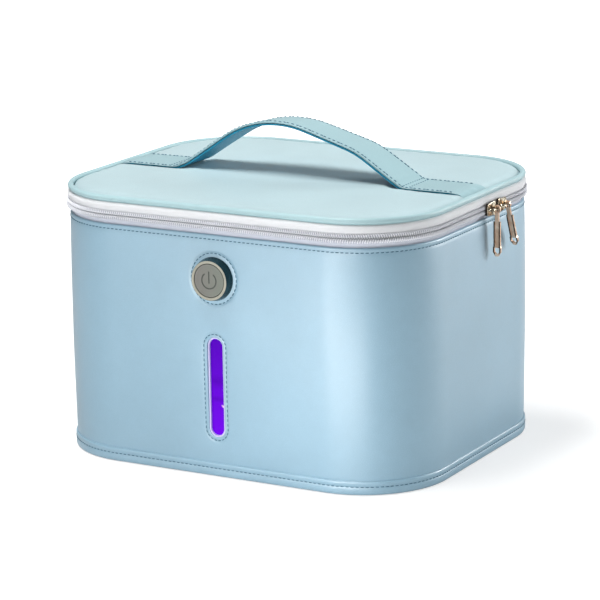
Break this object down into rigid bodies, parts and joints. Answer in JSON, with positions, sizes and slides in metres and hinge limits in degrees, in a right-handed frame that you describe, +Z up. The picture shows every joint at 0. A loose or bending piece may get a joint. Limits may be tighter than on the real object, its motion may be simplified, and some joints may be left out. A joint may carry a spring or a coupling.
{
  "type": "uv sterilizer cabinet",
  "caption": "Soft-sided ultraviolet sterilizing case with rounded corners, zip lid on a strip hinge, arched carrying strap, power button, viewing window, wire rack and lamps inside.",
  "frame": {"origin": "centre of the underside of the base, where the case stands on the table", "axes": "+X to the side where the two zip sliders meet, +Y to the hinge at the back (the button and window face -Y), +Z up"},
  "size_m": [0.2761, 0.2247, 0.2132],
  "materials": {
    "leather_blue": "satin",
    "greyboard": "matte",
    "foam": "matte",
    "silver_liner": "satin",
    "rim_tape": "matte",
    "zip_tape": "matte",
    "zip_coil": "satin",
    "gold_plate": "polished",
    "button_grey": "satin",
    "dark_plastic": "matte",
    "white_plastic": "satin",
    "circuit": "satin",
    "steel": "satin",
    "led": "satin",
    "clear_cover": "gloss",
    "violet_lens": "gloss",
    "rack_wire": "polished",
    "lead_grey": "matte"
  },
  "bodies": {
    "case": {"base_leather": "leather_blue", "bottom_binding": "leather_blue", "body_leather": "leather_blue", "hinge_strip_lower": "leather_blue", "base_board": "greyboard", "body_board": "greyboard", "base_foam": "foam", "body_foam": "foam", "floor_liner": "silver_liner", "body_liner": "silver_liner", "rim_binding": "rim_tape", "lower_zip_tape": "zip_tape", "lower_zip_coil": "zip_coil", "button_housing": "button_grey", "button_lock_nut": "dark_plastic", "socket_bezel": "dark_plastic", "control_backplate": "white_plastic", "control_cover": "white_plastic", "window_bezel": "white_plastic", "socket_box": "white_plastic", "base_lamp_frame": "white_plastic", "control_board": "circuit", "base_lamp_board": "circuit", "control_screws": "steel", "base_lamp_screws": "steel", "usb_socket": "steel", "base_lamp_leds": "led", "base_lamp_cover": "clear_cover", "window_lens": "violet_lens", "power_lead": "lead_grey", "base_lamp_lead": "lead_grey", "lid_lead_lower": "lead_grey"},
    "lid": {"lid_leather": "leather_blue", "lid_pad_foam": "foam", "lid_board": "greyboard", "lid_lining_foam": "foam", "lid_liner": "silver_liner", "lid_piping": "leather_blue", "upper_zip_tape": "zip_tape", "upper_zip_coil": "zip_coil", "hinge_strip_upper": "leather_blue", "lid_lamp_frame": "white_plastic", "lid_lamp_board": "circuit", "lid_lamp_leds": "led", "lid_lamp_cover": "clear_cover", "lid_lamp_screws": "steel", "lid_lead_upper": "lead_grey", "lid_magnet": "steel", "handle_top_layer": "leather_blue", "handle_under_layer": "leather_blue"},
    "slider_front": {"front_slider": "gold_plate"},
    "slider_rear": {"rear_slider": "gold_plate"},
    "pull_front": {"front_pull_tab": "gold_plate"},
    "pull_rear": {"rear_pull_tab": "gold_plate"},
    "button": {"button_cap": "button_grey"},
    "rack": {"rack_grid": "rack_wire", "rack_legs": "rack_wire"}
  },
  "joints": [
    {"name": "lid_hinge", "type": "hinge", "parent": "case", "child": "lid", "pos_m": [0, 0.1096, 0.1632], "axis": [-1, 0, 0], "range_deg": [0, 170]},
    {"name": "front_slider_slide", "type": "slide", "parent": "case", "child": "slider_front", "axis": [0, -1, 0], "range_m": [0, 0.054]},
    {"name": "rear_slider_slide", "type": "slide", "parent": "case", "child": "slider_rear", "axis": [0, 1, 0], "range_m": [0, 0.022]},
    {"name": "front_pull_swing", "type": "hinge", "parent": "slider_front", "child": "pull_front", "pos_m": [0.1389, 0.0103, 0.1632], "axis": [0, -1, 0], "range_deg": [0, 150]},
    {"name": "rear_pull_swing", "type": "hinge", "parent": "slider_rear", "child": "pull_rear", "pos_m": [0.1389, 0.0258, 0.1632], "axis": [0, -1, 0], "range_deg": [0, 150]},
    {"name": "button_press", "type": "slide", "parent": "case", "child": "button", "axis": [0, 1, 0], "range_m": [0, 0.0012], "stiffness_N_per_m": 1500},
    {"name": "rack_lift", "type": "slide", "parent": "case", "child": "rack", "axis": [0, 0, 1], "range_m": [0, 0.12]}
  ]
}
